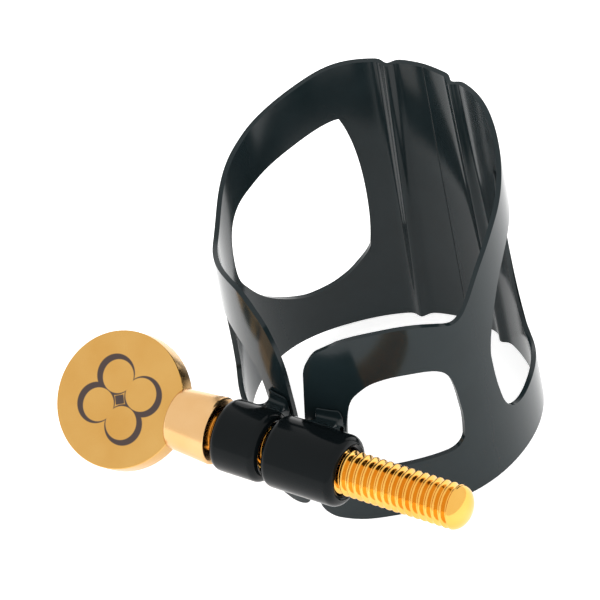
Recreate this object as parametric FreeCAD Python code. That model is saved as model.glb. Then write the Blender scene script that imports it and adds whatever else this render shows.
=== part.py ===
import FreeCAD, Part

import math
import os

# Saxophone ligature: an open sheet band with two barrels at its ends and a thumbscrew across them.
# +Z is the mouthpiece axis and the origin is on it, level with the screw.
# +Y points to the reed plate, and +X runs along the screw from its head to its tip.

# Band, in mm and degrees. Bearings are measured from the reed plate round to the barrels.
band_outer_radius = 12.9
sheet = 0.45
plate_top = 18.3
plate_bottom = -12.4
plate_flat = 30.0
side_top = 14.1
panel_top = 10.8
panel_bottom = -11.3
panel_corner_drop = 1.6
notch_bearing = 114.0
notch_height = 8.6
gap_width = 1.6

# Large side window, between the plate and the front panel.
side_window_back = 34.5
side_window_front = 100.5
side_window_top_back = 11.9
side_window_top_front = 9.0
side_window_bottom = -7.0
side_window_rounding = 2.0

# Small window in each front panel.
front_window_back = 118.5
front_window_front = 161.0
front_window_top = 5.3
front_window_bottom = -5.2
front_window_rounding = 1.6
ring_margin = 0.6

# Pressed ribs that grip the reed, as grooves in the plate's outer face.
rib_offset = 3.75
rib_groove_radius = 0.6
rib_depth = 0.18

# Barrels and their brazed seams.
barrel_standoff = 0.65
barrel_radius = 3.2
barrel_rounding = 0.8
rounding_share = 0.75
plain_barrel_length = 4.7
threaded_barrel_length = 7.2
barrel_gap = 0.4
seam_width = 3.2
seam_inset = 0.5
screw_offset = -0.7

# Thumbscrew.
thread_radius = 2.0
thread_pitch = 0.7
thread_depth = 0.38
thread_root_width = 0.46
thread_crest_width = 0.11
thread_clearance = 0.06
running_clearance = 0.06
thread_overlap = 0.1
thread_lead_turns = 2.5
screw_tip = 19.4
dome_length = 1.5
tip_rounding = 1.4
shank_relief = 0.15
collar_gap = 0.5
collar_length = 4.2
collar_radius = 3.0
collar_end_radius = 2.7
disc_radius = 6.0
disc_thickness = 2.0
disc_seat = 0.6
spindle_seat = 0.4
disc_rounding = 0.25
disc_tilt = 37.5

x_axis = FreeCAD.Vector(1, 0, 0)
z_axis = FreeCAD.Vector(0, 0, 1)
origin = FreeCAD.Vector(0, 0, 0)
band_inner_radius = band_outer_radius - sheet
screw_distance = band_outer_radius + barrel_standoff + barrel_radius
barrel_wall = barrel_radius - thread_radius - thread_clearance
end_rounding = min(barrel_rounding, rounding_share * barrel_wall)
plain_barrel_end = -barrel_gap / 2
plain_barrel_start = plain_barrel_end - plain_barrel_length
threaded_barrel_start = barrel_gap / 2
threaded_barrel_end = threaded_barrel_start + threaded_barrel_length
thread_start = threaded_barrel_start - thread_lead_turns * thread_pitch
collar_end = plain_barrel_start - collar_gap
collar_start = collar_end - collar_length
disc_centre = collar_start + disc_seat - disc_radius
post_edge = band_outer_radius * math.sin(math.radians(180 - front_window_front))
gap_bearing = 180 - math.degrees(gap_width / 2 / band_outer_radius)


def on_screw_axis(x):
    return FreeCAD.Vector(screw_offset + x, -screw_distance, 0)


def along_screw(radius, start, end):
    return Part.makeCylinder(radius, end - start, on_screw_axis(start), x_axis)


def curved_sheet(stretches, radius, thickness):
    """A curved sheet of the given outer radius, outlined by stretches of (bearing, height) points.

    A stretch of two points is straight, one of three rounds off its middle point, and a longer one
    is a smooth curve through its points.
    """
    surface = Part.Cylinder()
    surface.Radius = radius
    edges = []
    for stretch in stretches:
        points = [FreeCAD.Base.Vector2d(math.radians(90 - bearing), height) for bearing, height in stretch]
        if len(points) == 2:
            run = Part.Geom2d.Line2dSegment(points[0], points[1])
        elif len(points) == 3:
            run = Part.Geom2d.BezierCurve2d()
            run.setPoles(points)
        else:
            run = Part.Geom2d.BSplineCurve2d()
            run.interpolate(points)
        edges.append(run.toShape(surface))
    face = Part.Face(surface, Part.Wire(edges))
    face.validate()
    return face.makeOffsetShape(-thickness, 1e-4, fill=True)


def right_half():
    """The half of the band on the threaded side, from the middle of the plate to the gap."""
    plate_rim = [(0, plate_top), (plate_flat, plate_top)]
    top_rim = [(plate_flat, plate_top), (45, plate_top - 0.4), (60, side_top + 2.3), (90, side_top),
               (103, notch_height + 2.8), (notch_bearing, notch_height)]
    panel_rim = [(notch_bearing, notch_height), (124, panel_top - 0.6), (140, panel_top),
                 (160, panel_top - 0.9), (172, panel_top - 2.2), (gap_bearing, panel_top - 2 * panel_corner_drop)]
    gap_edge = [(gap_bearing, panel_top - 2 * panel_corner_drop), (gap_bearing, panel_bottom)]
    bottom_rim = [(gap_bearing, panel_bottom), (140, panel_bottom + 0.4), (90, panel_bottom + 0.3),
                  (60, plate_bottom + 0.5), (plate_flat, plate_bottom)]
    plate_foot = [(plate_flat, plate_bottom), (0, plate_bottom)]
    middle = [(0, plate_bottom), (0, plate_top)]
    outline = [plate_rim, top_rim, panel_rim, gap_edge, bottom_rim, plate_foot, middle]
    return curved_sheet(outline, band_outer_radius, sheet)


def toward(start, end, distance):
    """The point at a distance in mm along the sheet from one (bearing, height) point to another."""
    arc = math.radians(end[0] - start[0]) * band_outer_radius
    share = distance / math.hypot(arc, end[1] - start[1])
    return (start[0] + (end[0] - start[0]) * share, start[1] + (end[1] - start[1]) * share)


def window_cutter(corners, rounding):
    """A solid that cuts a window through the sheet, straight between its rounded corners."""
    stretches = []
    for before, corner, after in zip(corners[-1:] + corners[:-1], corners, corners[1:] + corners[:1]):
        leaves = toward(corner, after, rounding)
        stretches.append([toward(corner, before, rounding), corner, leaves])
        stretches.append([leaves, toward(after, corner, rounding)])
    return curved_sheet(stretches, band_outer_radius + sheet, 3 * sheet)


def band_solid():
    side_window = window_cutter(
        [(side_window_back, side_window_bottom), (side_window_back, side_window_top_back),
         (0.6 * side_window_front + 0.4 * side_window_back, side_window_top_back - 1.0),
         (side_window_front, side_window_top_front - 1.0), (side_window_front, side_window_bottom + 2.4)],
        side_window_rounding)
    front_window = window_cutter(
        [(front_window_back, front_window_bottom), (front_window_back, front_window_top),
         (front_window_front, front_window_top), (front_window_front, front_window_bottom)],
        front_window_rounding)
    sheet_half = right_half()
    ring_block = Part.makeCylinder(band_outer_radius + 1, side_window_bottom - ring_margin - plate_bottom,
                                   FreeCAD.Vector(0, 0, plate_bottom), z_axis)
    # The ring below the windows stays a face of its own, since it is the band's only nearly whole wall.
    sheet_half = sheet_half.common(ring_block).fuse(sheet_half.cut(ring_block))
    half = sheet_half.cut(side_window).cut(front_window)
    band = half.fuse(half.mirror(origin, x_axis))
    height = plate_top - plate_bottom
    for side in (-1, 1):
        groove_x = side * rib_offset
        groove_y = math.sqrt(band_outer_radius ** 2 - rib_offset ** 2) + rib_groove_radius - rib_depth
        start = FreeCAD.Vector(groove_x, groove_y, plate_bottom - 1)
        band = band.cut(Part.makeCylinder(rib_groove_radius, height + 2, start, z_axis))
    return band


def with_round_rims(blank, rounding):
    rims = [edge for edge in blank.Edges if edge.Curve.TypeId == "Part::GeomCircle"]
    return blank.makeFillet(rounding, rims)


def barrel(start, end, bore):
    blank = with_round_rims(along_screw(barrel_radius, start, end), end_rounding)
    return blank.cut(bore)


def helical_sweep(start, end, inner, inner_half_width, outer, outer_half_width):
    """A helical bar on the screw axis, with a flat inner and outer face of the given half widths."""
    helix = Part.makeHelix(thread_pitch, end - start, thread_radius)
    corners = [FreeCAD.Vector(inner, 0, -inner_half_width), FreeCAD.Vector(outer, 0, -outer_half_width),
               FreeCAD.Vector(outer, 0, outer_half_width), FreeCAD.Vector(inner, 0, inner_half_width)]
    profile = Part.makePolygon(corners + corners[:1])
    bar = Part.Wire(helix).makePipeShell([profile], True, True)
    bar.rotate(origin, FreeCAD.Vector(0, 1, 0), 90)
    bar.translate(on_screw_axis(start))
    return bar


def thread_ridge(start, end, allowance):
    """The ridge of the thread, grown by an allowance all round and sunk a little into its core."""
    root = thread_radius - thread_depth
    flank_run = (thread_root_width - thread_crest_width) / 2
    sunk_half_width = thread_root_width / 2 + flank_run * thread_overlap / thread_depth + allowance
    return helical_sweep(start, end, root - thread_overlap, sunk_half_width,
                         thread_radius + allowance, thread_crest_width / 2 + allowance)


def seam(start, end):
    """The brazed strip between a barrel and the band."""
    depth = screw_distance - band_inner_radius
    block = Part.makeBox(end - start, depth, seam_width,
                         on_screw_axis(start) - z_axis * (seam_width / 2))
    inside_band = Part.makeCylinder(band_outer_radius, seam_width + 2,
                                    FreeCAD.Vector(0, 0, -seam_width / 2 - 1), z_axis)
    return block.cut(along_screw(barrel_radius, start - 1, end + 1)).cut(inside_band)


def screw_spindle():
    shank_start = collar_start + disc_seat + spindle_seat
    dome_start = screw_tip - dome_length
    shank = along_screw(thread_radius - shank_relief, shank_start, thread_start)
    core = along_screw(thread_radius - thread_depth, thread_start, dome_start)
    ridge = thread_ridge(thread_start + thread_pitch, dome_start - thread_pitch / 2, 0)
    button = along_screw(thread_radius, dome_start, screw_tip)
    tip_rim = [edge for edge in button.Edges
               if edge.Curve.TypeId == "Part::GeomCircle" and edge.BoundBox.Center.x > screw_offset + screw_tip - 1e-3]
    return core.fuse(ridge).fuse(shank).fuse(button.makeFillet(tip_rounding, tip_rim))


def thumb_disc():
    tilt = math.radians(disc_tilt)
    facing = FreeCAD.Vector(0, -math.sin(tilt), math.cos(tilt))
    start = on_screw_axis(disc_centre) - facing * (disc_thickness / 2)
    blank = Part.makeCylinder(disc_radius, disc_thickness, start, facing)
    return with_round_rims(blank, disc_rounding)


plain_bore = along_screw(thread_radius + running_clearance, plain_barrel_start - 1, plain_barrel_end + 1)
tapped_bore = along_screw(thread_radius - thread_depth + thread_clearance,
                          threaded_barrel_start - 1, threaded_barrel_end + 1)
thread_groove = thread_ridge(threaded_barrel_start - thread_pitch / 2, threaded_barrel_end + thread_pitch / 2,
                             thread_clearance)
disc = thumb_disc()
spindle = screw_spindle()
collar = Part.makeCone(collar_end_radius, collar_radius, collar_length, on_screw_axis(collar_start), x_axis)
parts = {
    "band": band_solid(),
    "plain_barrel": barrel(plain_barrel_start, plain_barrel_end, plain_bore),
    "threaded_barrel": barrel(threaded_barrel_start, threaded_barrel_end, tapped_bore.fuse(thread_groove)),
    "plain_barrel_braze": seam(max(plain_barrel_start, -post_edge - screw_offset) + seam_inset,
                               min(plain_barrel_end, -gap_width / 2 - screw_offset) - seam_inset),
    "threaded_barrel_braze": seam(max(threaded_barrel_start, gap_width / 2 - screw_offset) + seam_inset,
                                  min(threaded_barrel_end, post_edge - screw_offset) - seam_inset),
    "screw_spindle": spindle,
    "screw_collar": collar.cut(disc).cut(spindle),
    "thumb_disc": disc,
}
os.makedirs("parts", exist_ok=True)
for name, shape in parts.items():
    shape.exportStep("parts/" + name + ".step")
    box = shape.BoundBox
    print(name, shape.isValid(), len(shape.Solids), round(shape.Volume, 2),
          [round(v, 2) for v in (box.XMin, box.YMin, box.ZMin, box.XMax, box.YMax, box.ZMax)])
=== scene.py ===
import bpy
import numpy as np
from mathutils import Matrix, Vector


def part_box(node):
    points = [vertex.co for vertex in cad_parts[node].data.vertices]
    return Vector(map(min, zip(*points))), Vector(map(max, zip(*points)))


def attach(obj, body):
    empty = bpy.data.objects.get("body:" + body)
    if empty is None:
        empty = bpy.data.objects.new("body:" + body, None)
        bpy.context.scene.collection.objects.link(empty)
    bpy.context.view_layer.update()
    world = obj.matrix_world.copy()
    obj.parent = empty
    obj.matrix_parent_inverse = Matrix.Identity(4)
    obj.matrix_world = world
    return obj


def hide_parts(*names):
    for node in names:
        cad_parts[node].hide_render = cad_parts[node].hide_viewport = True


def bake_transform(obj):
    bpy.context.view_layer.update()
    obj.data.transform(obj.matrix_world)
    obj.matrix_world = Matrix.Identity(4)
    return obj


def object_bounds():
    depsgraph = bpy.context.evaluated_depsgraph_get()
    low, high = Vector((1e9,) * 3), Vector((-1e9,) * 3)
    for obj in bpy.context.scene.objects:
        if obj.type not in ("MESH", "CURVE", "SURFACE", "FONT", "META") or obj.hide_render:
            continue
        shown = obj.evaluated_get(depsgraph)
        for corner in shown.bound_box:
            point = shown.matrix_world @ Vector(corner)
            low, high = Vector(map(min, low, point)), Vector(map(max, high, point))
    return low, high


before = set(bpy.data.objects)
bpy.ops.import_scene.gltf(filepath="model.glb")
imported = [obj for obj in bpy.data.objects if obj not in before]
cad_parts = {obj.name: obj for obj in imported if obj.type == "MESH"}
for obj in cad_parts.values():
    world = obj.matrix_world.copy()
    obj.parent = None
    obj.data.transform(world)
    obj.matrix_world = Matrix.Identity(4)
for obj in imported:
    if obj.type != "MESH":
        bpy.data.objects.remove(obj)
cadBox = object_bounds()  # the CAD model's box, its lowest point kept for the floor's level
mm = 0.001


def toLinear(hexColour):
    # sRGB hex to linear light, with alpha 1
    channels = np.array([int(hexColour[i:i + 2], 16) for i in (1, 3, 5)]) / 255
    linear = np.where(channels <= 0.04045, channels / 12.92, ((channels + 0.055) / 1.055) ** 2.4)
    return (*linear.tolist(), 1.0)


def addNode(tree, kind, settings=None, links=None):
    # settings: property or input name to value; links: input name or index to the socket feeding it
    node = tree.nodes.new(kind)
    for name, value in (settings or {}).items():
        if isinstance(name, str) and hasattr(node, name):
            setattr(node, name, value)
        else:
            node.inputs[name].default_value = value
    for name, source in (links or {}).items():
        tree.links.new(source, node.inputs[name])
    return node


def smoothCurve(points, at):
    # natural cubic spline through (position, value) points, worked out for all positions at once
    x, y = np.array(points, float).T
    gap = np.diff(x)
    system = np.diag(np.r_[1, 2 * (gap[:-1] + gap[1:]), 1])
    inner = np.arange(1, len(x) - 1)
    system[inner, inner - 1] = gap[:-1]
    system[inner, inner + 1] = gap[1:]
    slope = np.diff(y) / gap
    bend = np.linalg.solve(system, np.r_[0, 6 * np.diff(slope), 0])
    span = np.clip(np.searchsorted(x, at) - 1, 0, len(gap) - 1)
    left, right = at - x[span], x[span + 1] - at
    return ((bend[span] * right ** 3 + bend[span + 1] * left ** 3) / (6 * gap[span])
            + (y[span] / gap[span] - bend[span] * gap[span] / 6) * right
            + (y[span + 1] / gap[span] - bend[span + 1] * gap[span] / 6) * left)


def gridFaces(rows, columns, closedColumns=False):
    # quads of a rows x columns grid of points, the last column joined to the first if asked
    row, column = np.meshgrid(np.arange(rows - 1), np.arange(columns - (not closedColumns)), indexing="ij")
    following = (column + 1) % columns
    return np.stack([row * columns + column, row * columns + following,
                     (row + 1) * columns + following, (row + 1) * columns + column], -1).reshape(-1, 4)


def weld(points, faces):
    # merges points closer than a thousandth of a micron and drops the faces that this collapses
    _, first, back = np.unique(np.round(points, 9), axis=0, return_index=True, return_inverse=True)
    faces = back.reshape(-1)[faces]
    kept = [tuple(dict.fromkeys(face)) for face in faces.tolist()]
    return points[first], [face for face in kept if len(face) > 2]


def makePiece(name, points, faces, material, body=None, replaced=()):
    # a smooth-shaded mesh at the origin, riding on its body
    mesh = bpy.data.meshes.new(name)
    mesh.from_pydata(points.tolist(), [], [tuple(face) for face in faces])
    mesh.validate()
    mesh.shade_smooth()
    mesh.materials.append(material)
    piece = bpy.data.objects.new(name, mesh)
    bpy.context.scene.collection.objects.link(piece)
    if body:
        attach(piece, body)
    if replaced:
        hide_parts(*replaced)
    return piece


def newMaterial(name):
    # an empty node material and its tree
    material = bpy.data.materials.new(name)
    material.use_nodes = True
    material.node_tree.nodes.clear()
    return material, material.node_tree


def blackLacquer(name, finish):
    # sprayed gloss black lacquer on brass: deep black with a soft sheen and a faint orange peel
    material, tree = newMaterial(name)
    coordinates = addNode(tree, "ShaderNodeTexCoord")
    peel = addNode(tree, "ShaderNodeTexNoise", {"Scale": 1 / (finish["peelSize"] * mm), "Detail": 2.0},
                   {"Vector": coordinates.outputs["Object"]})
    cloud = addNode(tree, "ShaderNodeTexNoise", {"Scale": 1 / (finish["cloudSize"] * mm), "Detail": 3.0},
                    {"Vector": coordinates.outputs["Object"]})
    roughness = addNode(tree, "ShaderNodeMapRange", {"To Min": finish["roughnessLow"],
                                                     "To Max": finish["roughnessHigh"]},
                        {"Value": cloud.outputs["Fac"]})
    tint = addNode(tree, "ShaderNodeMix", {"data_type": "RGBA", 6: toLinear(finish["dark"]),
                                           7: toLinear(finish["light"])},
                   {0: cloud.outputs["Fac"]})
    bump = addNode(tree, "ShaderNodeBump", {"Strength": finish["peelStrength"], "Distance": finish["peelDepth"] * mm},
                   {"Height": peel.outputs["Fac"]})
    shader = addNode(tree, "ShaderNodeBsdfPrincipled",
                     {"Metallic": 0.0, "IOR": finish["ior"]},
                     {"Base Color": tint.outputs[2], "Roughness": roughness.outputs["Result"],
                      "Normal": bump.outputs["Normal"]})
    addNode(tree, "ShaderNodeOutputMaterial", {}, {"Surface": shader.outputs["BSDF"]})
    return material


lacquerFinish = {
    "dark": "#131C1E", "light": "#1B2629", "ior": 1.3, "roughnessLow": 0.1, "roughnessHigh": 0.17,
    "cloudSize": 4.0, "peelSize": 0.35, "peelStrength": 0.08, "peelDepth": 0.02,  # sizes in mm
}
# the barrels' copy of the band's lacquer: its colours are painted darker as painted shade, and its lower IOR gives a
# weaker reflection
shadedLacquerFinish = dict(lacquerFinish, dark="#080C0D", light="#0D1214", ior=1.2)
bandLacquer = blackLacquer("glossBlackLacquer", lacquerFinish)
barrelShadedLacquer = blackLacquer("glossBlackLacquerShadedCopy", shadedLacquerFinish)


def goldPlate(name, finish):
    # electroplated gold over brass: warm metal, its grain drawn coarser than the real one so that it shows
    material, tree = newMaterial(name)
    coordinates = addNode(tree, "ShaderNodeTexCoord")
    grain = addNode(tree, "ShaderNodeTexNoise", {"Scale": 1 / (finish["grainSize"] * mm), "Detail": 3.0},
                    {"Vector": coordinates.outputs["Object"]})
    cloud = addNode(tree, "ShaderNodeTexNoise", {"Scale": 1 / (finish["cloudSize"] * mm), "Detail": 2.0},
                    {"Vector": coordinates.outputs["Object"]})
    tint = addNode(tree, "ShaderNodeMix", {"data_type": "RGBA", 6: toLinear(finish["deep"]),
                                           7: toLinear(finish["pale"])},
                   {0: cloud.outputs["Fac"]})
    roughness = addNode(tree, "ShaderNodeMapRange", {"To Min": finish["roughnessLow"],
                                                     "To Max": finish["roughnessHigh"]},
                        {"Value": grain.outputs["Fac"]})
    bump = addNode(tree, "ShaderNodeBump", {"Strength": finish["grainBump"], "Distance": finish["grainDepth"] * mm},
                   {"Height": grain.outputs["Fac"]})
    shader = addNode(tree, "ShaderNodeBsdfPrincipled", {"Metallic": 1.0},
                     {"Base Color": tint.outputs[2], "Roughness": roughness.outputs["Result"],
                      "Normal": bump.outputs["Normal"]})
    addNode(tree, "ShaderNodeOutputMaterial", {}, {"Surface": shader.outputs["BSDF"]})
    return material


goldFinish = {"grainSize": 0.25, "cloudSize": 3.0, "grainBump": 0.05, "grainDepth": 0.02}  # sizes in mm
threadGold = goldPlate("goldPlateRolledThread", dict(goldFinish, deep="#DC9C3C", pale="#EFC26A",
                                                     roughnessLow=0.08, roughnessHigh=0.16))
collarGold = goldPlate("goldPlateTurned", dict(goldFinish, deep="#D4A468", pale="#DEB684",
                                               roughnessLow=0.16, roughnessHigh=0.26))


def engravedDisc(name, finish):
    # brushed gold plate with an engraved rosette: four interlaced rings and a centre diamond, blackened
    material, tree = newMaterial(name)
    coordinates = addNode(tree, "ShaderNodeTexCoord")
    place = addNode(tree, "ShaderNodeVectorMath", {"operation": "MULTIPLY_ADD", 1: (2, 2, 0), 2: (-1, -1, 0)},
                    {0: coordinates.outputs["UV"]})
    turned = addNode(tree, "ShaderNodeVectorRotate", {"rotation_type": "Z_AXIS", "Angle": np.radians(finish["turn"])},
                     {"Vector": place.outputs[0]})
    folded = addNode(tree, "ShaderNodeVectorMath", {"operation": "ABSOLUTE"}, {0: turned.outputs[0]})
    ringCentre = (finish["ringPlace"], finish["ringPlace"], 0)
    offset = addNode(tree, "ShaderNodeVectorMath", {"operation": "DISTANCE", 1: ringCentre}, {0: folded.outputs[0]})
    parts = addNode(tree, "ShaderNodeSeparateXYZ", {}, {0: folded.outputs[0]})
    ring = addNode(tree, "ShaderNodeMath", {"operation": "SUBTRACT", 1: finish["ringRadius"]},
                   {0: offset.outputs["Value"]})
    stroke = addNode(tree, "ShaderNodeMath", {"operation": "ABSOLUTE"}, {0: ring.outputs[0]})
    width = addNode(tree, "ShaderNodeMath", {"operation": "MULTIPLY_ADD", 1: finish["swell"], 2: finish["stroke"]},
                    {0: parts.outputs["X"]})  # strokes widen along one direction, as a graver's do
    line = addNode(tree, "ShaderNodeMath", {"operation": "SUBTRACT"}, {0: width.outputs[0], 1: stroke.outputs[0]})
    reach = addNode(tree, "ShaderNodeMath", {"operation": "ADD"}, {0: parts.outputs["X"], 1: parts.outputs["Y"]})
    diamond = addNode(tree, "ShaderNodeMath", {"operation": "SUBTRACT", 0: finish["diamond"]}, {1: reach.outputs[0]})
    both = addNode(tree, "ShaderNodeMath", {"operation": "MAXIMUM"}, {0: line.outputs[0], 1: diamond.outputs[0]})
    engraved = addNode(tree, "ShaderNodeMapRange", {"From Min": 0.0, "From Max": finish["edgeBlur"]},
                       {"Value": both.outputs[0]})
    cloud = addNode(tree, "ShaderNodeTexNoise", {"Scale": 1 / (finish["cloudSize"] * mm), "Detail": 3.0},
                    {"Vector": coordinates.outputs["Object"]})
    grain = addNode(tree, "ShaderNodeTexNoise", {"Scale": 1 / (finish["grainSize"] * mm), "Detail": 3.0},
                    {"Vector": coordinates.outputs["Object"]})
    gold = addNode(tree, "ShaderNodeMix", {"data_type": "RGBA", 6: toLinear(finish["deep"]),
                                           7: toLinear(finish["pale"])},
                   {0: cloud.outputs["Fac"]})
    tint = addNode(tree, "ShaderNodeMix", {"data_type": "RGBA", 7: toLinear(finish["blacking"])},
                   {0: engraved.outputs["Result"], 6: gold.outputs[2]})
    metal = addNode(tree, "ShaderNodeMath", {"operation": "SUBTRACT", 0: 1.0}, {1: engraved.outputs["Result"]})
    roughness = addNode(tree, "ShaderNodeMapRange", {"To Min": finish["roughnessLow"],
                                                     "To Max": finish["roughnessHigh"]},
                        {"Value": grain.outputs["Fac"]})
    depth = addNode(tree, "ShaderNodeMath", {"operation": "MULTIPLY_ADD", 1: finish["grainShare"]},
                    {0: grain.outputs["Fac"], 2: metal.outputs[0]})
    bump = addNode(tree, "ShaderNodeBump", {"Strength": finish["cutStrength"], "Distance": finish["cutDepth"] * mm},
                   {"Height": depth.outputs[0]})
    shader = addNode(tree, "ShaderNodeBsdfPrincipled", {},
                     {"Base Color": tint.outputs[2], "Metallic": metal.outputs[0],
                      "Roughness": roughness.outputs["Result"], "Normal": bump.outputs["Normal"]})
    addNode(tree, "ShaderNodeOutputMaterial", {}, {"Surface": shader.outputs["BSDF"]})
    return material


discGold = engravedDisc("goldPlateEngraved", {
    "deep": "#C49148", "pale": "#D2A863", "blacking": "#3A2822", "roughnessLow": 0.2, "roughnessHigh": 0.3,
    "cloudSize": 3.5, "grainSize": 0.3, "grainShare": 0.15, "cutStrength": 0.6, "cutDepth": 0.05,  # sizes in mm
    "turn": 20.0, "ringPlace": 0.25, "ringRadius": 0.27, "stroke": 0.012,  # shares of the disc's radius
    "swell": 0.085, "diamond": 0.1, "edgeBlur": 0.012})
print("materials made")


band = {
    "radius": 12.885, "ovalShare": (-0.08, 0.073, 0.052), "lean": 0.04, "leanLevel": -1.5,
    "sheet": 0.45, "middle": 2.5, "cornerPower": 2.0,
    "ribs": (15.2, 19.4), "ribTopLevel": 18, "ribRun": 30, "ribWidth": 1.5, "ribHeight": 0.5, "ribSharpness": 1.6,
    "slantStart": 161, "slantLevel": 3, "slantReach": (-3, 5),  # where the gap's edge starts to lean, and how far
    "rows": 14, "windowColumns": 150, "plateColumns": 90, "junctionColumns": 30, "postColumns": 6, "cornerColumns": 24,
    "rimRounding": 0.1, "rimSteps": 2,
}
rightOutline = {
    "gapEdge": 178.4, "gapSlant": -0.55, "cornerStart": 171.0, "topDrop": 2.4, "bottomDrop": 1.3,
    "topRim": [(0, 18.05), (10, 18.05), (20, 18.25), (30, 18.55), (42, 18.4), (55, 17.4), (66, 16.4), (76, 15.45),
               (85, 14.6), (93, 13.4), (100, 11.9), (106, 10.1), (110, 9.1), (114, 8.75), (119, 9.2), (126, 10.0),
               (135, 10.6), (145, 10.7), (155, 10.35), (160, 9.95), (164, 9.5), (168, 9.0), (172, 8.5), (178, 7.9)],
    "bottomRim": [(0, -12.35), (30, -12.4), (50, -12.2), (75, -11.4), (90, -11.05), (105, -10.95), (135, -10.85),
                  (150, -10.95), (163, -11.35), (176, -11.5)],
    "sideTop": [(34.0, 2.5), (34.0, 5.5), (34.0, 8.5), (34.8, 10.7), (37.5, 11.7), (42, 11.85), (50, 11.55),
                (58, 11.3), (66, 11.2), (72, 11.0), (79, 10.5), (85, 9.6), (91, 7.9), (95.5, 5.8), (98.5, 3.9),
                (99.7, 2.5)],
    "sideBottom": [(34.0, 2.5), (34.0, 0.5), (34.0, -2.0), (34.8, -4.2), (37.0, -6.2), (41, -7.3), (47, -7.5),
                   (56, -6.9), (66, -6.35), (76, -6.0), (86, -5.8), (93, -5.1), (97, -3.6), (98.9, -1.5),
                   (99.6, 0.7), (99.7, 2.5)],
    "frontTop": [(117.0, -1.65), (117.5, 0), (118.2, 1.56), (119.0, 2.5), (120.2, 3.4), (122.2, 4.1), (125, 4.6),
                 (130, 5.05), (136, 5.3), (142, 5.38), (147, 5.2), (151, 4.85), (155, 4.15), (158.2, 3.35),
                 (160.0, 2.5), (161.2, 1.5), (162.2, 0.2), (162.9, -1.2), (163.3, -3.0)],
    "frontBottom": [(117.0, -1.65), (117.3, -3.4), (118.6, -4.5), (121.5, -5.05), (127, -5.2), (136, -5.15),
                    (146, -5.2), (152, -5.3), (158, -5.2), (161.7, -4.6), (163.3, -3.0)],
}
leftOutline = dict(
    rightOutline, gapEdge=174.2, gapSlant=-0.3, cornerStart=164.8, topDrop=4.2,
    topRim=[(0, 18.05), (10, 17.95), (20, 17.9), (28, 17.9), (36, 17.77), (43, 17.42), (50.5, 16.84), (58.5, 16.25),
            (67, 15.69), (76.6, 15.03), (82.2, 14.53), (88.8, 13.9), (95, 13.0), (101, 11.8), (106, 10.7),
            (112, 10.0), (120, 10.2), (130, 10.9), (140, 11.6), (150, 12.05), (155, 11.95), (160, 11.3),
            (165, 10.3), (170, 9.3), (175, 8.4)],
    sideTop=[(33.1, 2.5), (33.0, 5.0), (33.1, 8.2), (33.7, 10.3), (35.3, 11.3), (38.0, 11.65), (42, 11.6),
             (47, 11.3), (53, 10.85), (61, 10.3), (69, 9.87), (76, 9.5), (82, 9.17), (89, 8.85), (93, 8.45),
             (96.3, 7.85), (99.5, 6.5), (100.7, 5.0), (100.9, 3.7)],
    sideBottom=[(33.1, 2.5), (33.2, 0.4), (33.4, -1.7), (34.2, -3.0), (36.1, -4.15), (39, -5.04), (42, -5.74),
                (45, -6.34), (48.3, -6.78), (51.8, -7.1), (55.4, -7.25), (59.3, -7.26), (63.6, -7.11),
                (68.1, -6.67), (72.9, -5.97), (78.1, -5.0), (83.8, -3.7), (89.7, -1.98), (95.5, 0.07), (98.8, 1.4),
                (100.3, 2.5), (100.9, 3.7)],
)


def bandSurface(bearing, height, inward=0.0):
    # radius = R + a cos 2b + c cos 3b + d cos 4b less the ribs' bumps, swept up Z with a slight lean,
    # then moved inward along the section's own normal
    angle = np.radians(bearing)
    second, third, fourth = band["ovalShare"]
    radius = (band["radius"] + second * np.cos(2 * angle) + third * np.cos(3 * angle) + fourth * np.cos(4 * angle))
    turn = -2 * second * np.sin(2 * angle) - 3 * third * np.sin(3 * angle) - 4 * fourth * np.sin(4 * angle)
    ribTop, ribBottom = band["ribs"]
    rib = ribTop + (ribBottom - ribTop) * np.clip((band["ribTopLevel"] - height) / band["ribRun"], 0, 1)
    away = (np.abs(bearing) - rib) * np.radians(band["radius"]) / (band["ribWidth"] / 2)
    radius = radius - band["ribHeight"] * np.exp(-away ** 2 * band["ribSharpness"])
    normal = np.stack([radius * np.sin(angle) - turn * np.cos(angle),
                       turn * np.sin(angle) + radius * np.cos(angle)], -1)
    normal = normal / np.linalg.norm(normal, axis=-1, keepdims=True)
    x = radius * np.sin(angle) - inward * normal[..., 0]
    y = radius * np.cos(angle) + band["lean"] * (height - band["leanLevel"]) - inward * normal[..., 1]
    return np.stack([x, y, height], -1) * mm


def windowEdge(points, count):
    # a window's edge as a smooth curve through (bearing, height) points, evenly spaced along it
    bearing, height = np.array(points, float).T
    step = np.hypot(np.diff(bearing) * np.radians(band["radius"]), np.diff(height))
    along = np.r_[0, np.cumsum(step)]
    at = np.linspace(0, along[-1], count)
    return (smoothCurve(np.stack([along, bearing], -1), at), smoothCurve(np.stack([along, height], -1), at))


def rimHeight(outline, edge, bearing):
    # the rim's curve, falling to the gap's edge over a superellipse corner
    height = smoothCurve(outline[edge + "Rim"], bearing)
    start, power = outline["cornerStart"], band["cornerPower"]
    fall = np.clip((bearing - start) / (outline["gapEdge"] - start), 0, 1)
    drop = outline[edge + "Drop"] * (1 if edge == "top" else -1)
    return height - drop * (1 - (1 - fall ** power) ** (1 / power))


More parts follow.
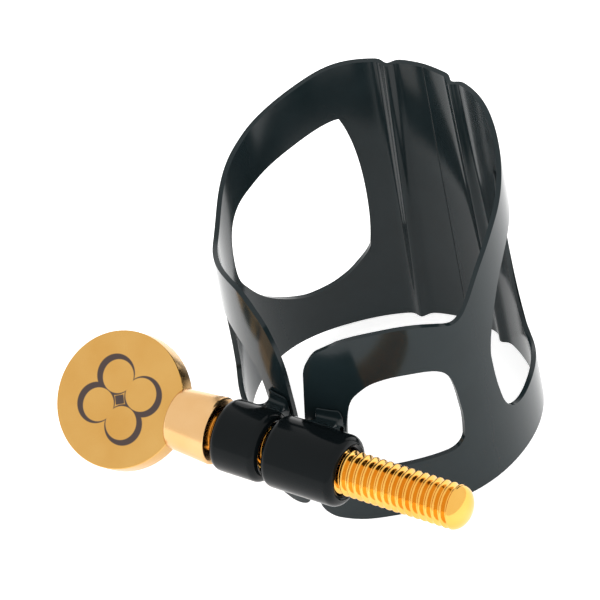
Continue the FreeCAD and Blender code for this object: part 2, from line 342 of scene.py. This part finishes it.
def bandStrip(outline, edge):
    # from the windows' edge to the rim: straight rulings between two curves in (bearing, height)
    level, name = band["middle"], edge.capitalize()
    sideBearing, sideHeight = windowEdge(outline["side" + name], band["windowColumns"])
    frontBearing, frontHeight = windowEdge(outline["front" + name], band["windowColumns"])
    plate = np.linspace(0, sideBearing[0], band["plateColumns"])
    junction = np.linspace(sideBearing[-1], frontBearing[0], band["junctionColumns"])
    corner, gap = outline["cornerStart"], outline["gapEdge"]
    cornerRun = (gap - corner) * np.sin(np.linspace(0, np.pi / 2, band["cornerColumns"]))[1:]
    post = np.r_[np.linspace(frontBearing[-1], corner, band["postColumns"]), corner + cornerRun]
    lowBearing = np.r_[plate, sideBearing[1:-1], junction, frontBearing[1:-1], post]
    between = np.linspace(sideHeight[-1], frontHeight[0], len(junction))
    lowHeight = np.r_[plate * 0 + level, sideHeight[1:-1], between, frontHeight[1:-1], post * 0 + frontHeight[-1]]
    sideRim = np.linspace(sideBearing[0], sideBearing[-1], band["windowColumns"])[1:-1]
    frontRim = np.linspace(frontBearing[0], frontBearing[-1], band["windowColumns"])[1:-1]
    highBearing = np.r_[plate, sideRim, junction, frontRim, post]
    highHeight = rimHeight(outline, edge, highBearing)
    share = np.linspace(0, 1, band["rows"])[:, None]
    return lowBearing + (highBearing - lowBearing) * share, lowHeight + (highHeight - lowHeight) * share


def bandHalf(name, side):
    # two strips welded along the middle, an outer and an inner skin, and a wall round every open edge
    outline = rightOutline if side > 0 else leftOutline
    upper, lower = bandStrip(outline, "top"), bandStrip(outline, "bottom")
    bearing = np.concatenate([upper[0].ravel(), lower[0].ravel()])
    height = np.concatenate([upper[1].ravel(), lower[1].ravel()])
    flat = np.round(np.stack([bearing, height], -1), 6)
    rows, columns = upper[0].shape
    faces = gridFaces(rows, columns)
    faces = np.concatenate([faces, faces[:, ::-1] + rows * columns])  # the lower strip runs downward
    kept, back = np.unique(flat, axis=0, return_inverse=True)
    faces = back.reshape(-1)[faces]
    slantStart = band["slantStart"]  # the gap's edge isn't upright
    nearGap = np.clip((kept[:, 0] - slantStart) / (outline["gapEdge"] - slantStart), 0, 1)
    slanted = kept[:, 0] + outline["gapSlant"] * nearGap * np.clip(kept[:, 1] - band["slantLevel"], *band["slantReach"])
    outer = bandSurface(slanted, kept[:, 1])
    inner = bandSurface(slanted, kept[:, 1], band["sheet"])
    count = len(kept)
    if side < 0:
        outer, inner = outer * [-1, 1, 1], inner * [-1, 1, 1]
        faces = faces[:, ::-1]
    edges = np.stack([faces, np.roll(faces, -1, 1)], -1).reshape(-1, 2)
    edges = edges[edges[:, 0] != edges[:, 1]]
    keys = np.sort(edges, 1) @ [count, 1]
    _, position, times = np.unique(keys, return_index=True, return_counts=True)
    openEdges = edges[position[times == 1]]
    start, end = openEdges.T
    walls = np.stack([end, start, start + count, end + count], -1)
    skins = np.concatenate([faces, faces[:, ::-1] + count, walls])
    corners = [tuple(dict.fromkeys(face)) for face in skins.tolist()]
    piece = makePiece(name, np.concatenate([outer, inner]), [face for face in corners if len(face) > 2], bandLacquer)
    joint = np.abs(kept[openEdges][:, :, 0]).max(1) < 1e-6  # the joint at the plate's middle stays sharp and unseen
    rim = openEdges[~joint]
    rimKeys = np.sort(np.concatenate([rim, rim + count]), 1) @ [2 * count, 1]
    ends = np.empty(len(piece.data.edges) * 2, int)
    piece.data.edges.foreach_get("vertices", ends)
    meshKeys = np.sort(ends.reshape(-1, 2), 1) @ [2 * count, 1]
    weight = piece.data.attributes.new("bevel_weight_edge", "FLOAT", "EDGE")
    weight.data.foreach_set("value", np.isin(meshKeys, rimKeys).astype(np.float32))
    bevel = piece.modifiers.new("rimRounding", "BEVEL")
    bevel.limit_method = "WEIGHT"
    bevel.width = band["rimRounding"] * mm
    bevel.segments = band["rimSteps"]
    bevel.harden_normals = True
    return piece


bandRight = bandHalf("bandRight", 1)
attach(bandRight, "band_body")
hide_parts("band")
bandLeft = bandHalf("bandLeft", -1)
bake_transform(bandLeft)
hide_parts("band")
print("band made")


plainLow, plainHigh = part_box("plain_barrel")
threadedLow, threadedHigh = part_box("threaded_barrel")
collarLow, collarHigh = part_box("screw_collar")
spindleLow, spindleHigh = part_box("screw_spindle")
discLow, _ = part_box("thumb_disc")
axisY = (plainLow[1] + plainHigh[1]) / 2  # the screw's axis runs along X at this Y and at Z = 0


def turned(name, profile, material, body, slot, replaced, around=96):
    # surface of revolution about the screw's axis: (x, r cos t, r sin t) for each (x, r) of the profile
    x, radius = np.array(profile, float).T
    angle = np.linspace(0, 2 * np.pi, around, endpoint=False)
    ring = np.stack([np.broadcast_to(x[:, None], (len(x), around)),
                     axisY + radius[:, None] * np.cos(angle), radius[:, None] * np.sin(angle)], -1)
    faces = gridFaces(len(x), around, closedColumns=True)
    points, faces = weld(ring.reshape(-1, 3), faces)
    return makePiece(name, points, faces, material, body, replaced)


def arcPoints(centre, radius, start, end, count):
    # points of an arc in (x, r), its angles in degrees from +x
    angle = np.radians(np.linspace(start, end, count))
    return np.stack([centre[0] + radius * np.cos(angle), centre[1] + radius * np.sin(angle)], -1)


barrelShape = {"endRounding": 0.75 * mm, "mouthRounding": 0.5 * mm, "boreRadius": 2.05 * mm}


def barrelProfile(start, end, radius):
    # a closed tube section: outside with rounded ends, then the bore back again
    rounding, mouth, bore = (barrelShape[key] for key in ("endRounding", "mouthRounding", "boreRadius"))
    outside = np.concatenate([arcPoints((start + rounding, radius - rounding), rounding, 180, 90, 10),
                              arcPoints((end - rounding, radius - rounding), rounding, 90, 0, 10)])
    inside = np.concatenate([arcPoints((end - mouth, bore + mouth), mouth, 0, -90, 5),
                             arcPoints((start + mouth, bore + mouth), mouth, -90, -180, 5)])
    section = np.concatenate([outside, inside])
    return np.concatenate([section, section[:1]])


# both barrels wear the lacquer copy whose darker colour is painted shade
turned("plainBarrel", barrelProfile(plainLow[0], plainHigh[0], plainHigh[2]), barrelShadedLacquer,
       "plain_side", "barrel_lacquer", ("plain_barrel",))
turned("threadedBarrel", barrelProfile(threadedLow[0], threadedHigh[0], threadedHigh[2]), barrelShadedLacquer,
       "band_body", "barrel_lacquer", ("threaded_barrel",))
print("barrels made")

seam = {"grip": 44.0, "rise": 2.0 * mm, "sunk": 0.12 * mm, "endShare": 0.3, "endSwell": 0.55, "hollow": 0.8,
        "core": 0.72, "coreHeight": 0.9, "rows": 40, "curve": 18}


def seamPiece(name, replaced, body):
    # a lofted fillet: at each x a section of two concave quadratic curves from the barrel to the band,
    # (1-t)^2 A + 2t(1-t) C + t^2 B, that shrinks at its ends as molten braze does
    low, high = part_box(replaced)
    x = np.linspace(low[0], high[0], seam["rows"])
    place = np.linspace(-1, 1, seam["rows"])
    swell = np.clip((1 - np.abs(place)) / seam["endShare"], 0, 1)
    swell = seam["endSwell"] + (1 - seam["endSwell"]) * np.sqrt(1 - (1 - swell) ** 2)
    radius = plainHigh[2]
    grip = np.radians(seam["grip"]) * swell
    bandY = -np.sqrt((band["radius"] * mm) ** 2 - x ** 2)  # the band's outer face at each x
    rise = seam["rise"] * swell
    startY, startZ = axisY + radius * np.cos(grip), radius * np.sin(grip)
    controlY = bandY
    controlZ = np.minimum(startZ - (bandY - startY) / np.tan(grip), rise * seam["hollow"])
    t = np.linspace(0, 1, seam["curve"])[:, None]
    curveY = (1 - t) ** 2 * startY + 2 * t * (1 - t) * controlY + t ** 2 * bandY
    curveZ = (1 - t) ** 2 * startZ + 2 * t * (1 - t) * controlZ + t ** 2 * rise
    coreY, coreZ = np.full((1, len(x)), axisY + radius * seam["core"]), startZ[None] * seam["coreHeight"]
    sunkY, sunkZ = bandY[None] + seam["sunk"], rise[None]
    sectionY = np.concatenate([coreY, curveY, sunkY, sunkY, curveY[::-1], coreY])
    sectionZ = np.concatenate([coreZ, curveZ, sunkZ, -sunkZ, -curveZ[::-1], -coreZ])
    count = len(sectionY)
    ring = np.stack([np.broadcast_to(x, sectionY.shape), sectionY, sectionZ], -1).transpose(1, 0, 2)
    faces = gridFaces(len(x), count, closedColumns=True).tolist()
    faces += [list(range(count))[::-1], list(range((len(x) - 1) * count, len(x) * count))]
    return makePiece(name, ring.reshape(-1, 3), faces, bandLacquer, body, (replaced,))


seamPiece("plainSeam", "plain_barrel_braze", "plain_side")
seamPiece("threadedSeam", "threaded_barrel_braze", "band_body")
print("seams made")

screw = {"major": 2.0 * mm, "root": 1.58 * mm, "pitch": 0.7 * mm, "crestShare": 0.14, "rootShare": 0.16,
         "dome": 1.35 * mm, "domeFade": 0.15 * mm, "shank": 1.85 * mm, "shankGap": 0.1 * mm, "runIn": 1.4 * mm,
         "stepsPerTurn": 18, "domeSteps": 18, "around": 72}


def screwSurface():
    # r(x, t): a trapezoid ridge that follows phase = x/pitch - t/2pi, under a rounded tip's envelope
    start, tip = spindleLow[0] + screw["shankGap"], spindleHigh[0]
    threadStart, threadEnd = threadedLow[0] - screw["runIn"], tip - screw["dome"]
    steps = int((tip - screw["dome"] - threadStart) / screw["pitch"] * screw["stepsPerTurn"])
    dome = tip - screw["dome"] * np.cos(np.linspace(0, np.pi / 2, screw["domeSteps"]))
    x = np.r_[start, start, threadStart, np.linspace(threadStart + 1e-6, threadEnd, steps), dome[1:]]
    angle = np.linspace(0, 2 * np.pi, screw["around"], endpoint=False)
    phase = (x[:, None] - threadedHigh[0]) / screw["pitch"] - angle / (2 * np.pi)
    away = np.abs((phase + 0.5) % 1 - 0.5) * 2  # 0 at the crest's middle, 1 at the root's
    ridge = np.clip((1 - screw["rootShare"] - away) / (1 - screw["rootShare"] - screw["crestShare"]), 0, 1)
    radius = screw["root"] + (screw["major"] - screw["root"]) * ridge
    radius[:3] = screw["shank"]
    radius[0] = 0
    fromTip = np.clip((x - threadEnd) / screw["dome"], 0, 1)
    envelope = screw["major"] * np.sqrt(1 - fromTip ** 2)
    fade = np.clip((x - threadEnd) / screw["domeFade"], 0, 1)[:, None]
    radius = np.minimum(radius * (1 - fade) + screw["major"] * fade, envelope[:, None])
    radius[-1] = 0
    ring = np.stack([np.broadcast_to(x[:, None], radius.shape),
                     axisY + radius * np.cos(angle), radius * np.sin(angle)], -1)
    points, faces = weld(ring.reshape(-1, 3), gridFaces(len(x), screw["around"], closedColumns=True))
    return makePiece("screwThread", points, faces, threadGold, "screw", ("screw_spindle",))


screwSurface()
collar = {"startRadius": 2.7 * mm, "endRadius": 3.0 * mm, "rounding": 0.25 * mm, "steps": 6}


def collarProfile():
    # a slightly flared cylinder with rounded edges
    rounding, steps = collar["rounding"], collar["steps"]
    headEnd = (collarLow[0] + rounding, collar["startRadius"] - rounding)
    barrelEnd = (collarHigh[0] - rounding, collar["endRadius"] - rounding)
    return np.concatenate([[(collarLow[0], 0)], arcPoints(headEnd, rounding, 180, 90, steps),
                           arcPoints(barrelEnd, rounding, 90, 0, steps), [(collarHigh[0], 0)]])


turned("screwCollar", collarProfile(), collarGold, "screw", "gold_collar", ("screw_collar",))
print("screw and collar made")


disc = {"radius": 6.0 * mm, "thickness": 2.0 * mm, "tilt": 37.5, "rounding": 0.12 * mm,
        "faceRings": 14, "edgeSteps": 6, "around": 128}


def discPiece():
    # a coin: its rim's profile turned about the disc's own axis, carried to the screw by a rotation about X
    tilt = np.radians(disc["tilt"])
    centre = np.array([discLow[0] + disc["radius"], axisY, 0.0])
    across, facing = np.array([0, np.cos(tilt), np.sin(tilt)]), np.array([0, -np.sin(tilt), np.cos(tilt)])
    half, rounding, rings, steps = disc["thickness"] / 2, disc["rounding"], disc["faceRings"], disc["edgeSteps"]
    flatRadius = disc["radius"] - rounding
    section = np.concatenate([
        np.stack([np.full(rings, half), np.linspace(0, flatRadius, rings)], -1)[:-1],
        arcPoints((half - rounding, flatRadius), rounding, 0, 90, steps),
        arcPoints((-half + rounding, flatRadius), rounding, 90, 180, steps),
        np.stack([np.full(rings, -half), np.linspace(flatRadius, 0, rings)], -1)[1:]])
    angle = np.linspace(0, 2 * np.pi, disc["around"], endpoint=False)[:, None]
    spoke = np.cos(angle) * np.array([1, 0, 0]) + np.sin(angle) * across
    ring = centre + section[:, 1][:, None, None] * spoke + section[:, 0][:, None, None] * facing
    faces = gridFaces(len(section), disc["around"], closedColumns=True)[:, ::-1]
    points, faces = weld(ring.reshape(-1, 3), faces)
    piece = makePiece("thumbDisc", points, faces, discGold, "screw", ("thumb_disc",))
    local = points - centre  # the disc's own UV map, so that the rosette follows the face
    flatPlace = np.stack([local[:, 0], local @ across], -1) / disc["radius"]
    corner = np.empty(len(piece.data.loops), int)
    piece.data.loops.foreach_get("vertex_index", corner)
    layer = piece.data.uv_layers.new(name="discFace")
    layer.uv.foreach_set("vector", (flatPlace[corner] * 0.5 + 0.5).astype(np.float32).ravel())


discPiece()
print("thumb disc made")


studio = {"floor": "#FFFFFF", "floorHalf": 1.5, "floorGlow": 0.6, "sky": "#FFFFFF", "skyStrength": 1.2}
view = {"azimuth": 39.284, "elevation": 45.784, "roll": 12.907, "frameWidth": 600 / 11.67 * mm,
        "distance": 1.5, "target": (-6.646, 0.123), "shift": (0, 0.406, 1.54), "sensor": 36, "clip": (0.1, 10)}


def makeFloor():
    # a wide white sweep at the object's lowest point
    half = studio["floorHalf"]
    level = min(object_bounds()[0][2], cadBox[0][2])
    points = np.array([(-half, -half, level), (half, -half, level), (half, half, level), (-half, half, level)])
    material, tree = newMaterial("whitePaperSweep")  # matt seamless paper
    shader = addNode(tree, "ShaderNodeBsdfPrincipled",
                     {"Base Color": toLinear(studio["floor"]), "Roughness": 0.9, "Specular IOR Level": 0.1,
                      "Emission Color": toLinear(studio["floor"]), "Emission Strength": studio["floorGlow"]})
    addNode(tree, "ShaderNodeOutputMaterial", {}, {"Surface": shader.outputs["BSDF"]})
    floor = makePiece("floor", points, [(0, 1, 2, 3)], material)


def makeStudio():
    # even white light from all round
    world = bpy.data.worlds.new("studio")
    bpy.context.scene.world = world
    world.use_nodes = True
    background = world.node_tree.nodes["Background"]
    background.inputs["Color"].default_value = toLinear(studio["sky"])
    background.inputs["Strength"].default_value = studio["skyStrength"]
    bpy.context.scene.view_settings.view_transform = "Standard"


def makeCamera():
    # looks along azimuth and elevation from far away, rolled about its own axis
    turn, rise, roll = (np.radians(view[key]) for key in ("azimuth", "elevation", "roll"))
    right = np.array([np.cos(turn), np.sin(turn), 0])
    up = np.array([-np.sin(turn) * np.sin(rise), np.cos(turn) * np.sin(rise), np.cos(rise)])
    back = np.cross(right, up)
    rolledRight = np.cos(roll) * right - np.sin(roll) * up
    rolledUp = np.sin(roll) * right + np.cos(roll) * up
    target = (rolledRight * view["target"][0] + rolledUp * view["target"][1] + np.array(view["shift"])) * mm
    data = bpy.data.cameras.new("camera")
    data.sensor_width = view["sensor"]
    data.lens = view["sensor"] * view["distance"] / view["frameWidth"]
    camera = bpy.data.objects.new("camera", data)
    matrix = np.eye(4)
    matrix[:3, :3] = np.stack([rolledRight, rolledUp, back], -1)
    matrix[:3, 3] = target + back * view["distance"]
    camera.matrix_world = Matrix(matrix.tolist())
    data.clip_start, data.clip_end = view["clip"]
    bpy.context.scene.collection.objects.link(camera)
    bpy.context.scene.camera = camera


makeFloor()
makeStudio()
makeCamera()
print("studio made")
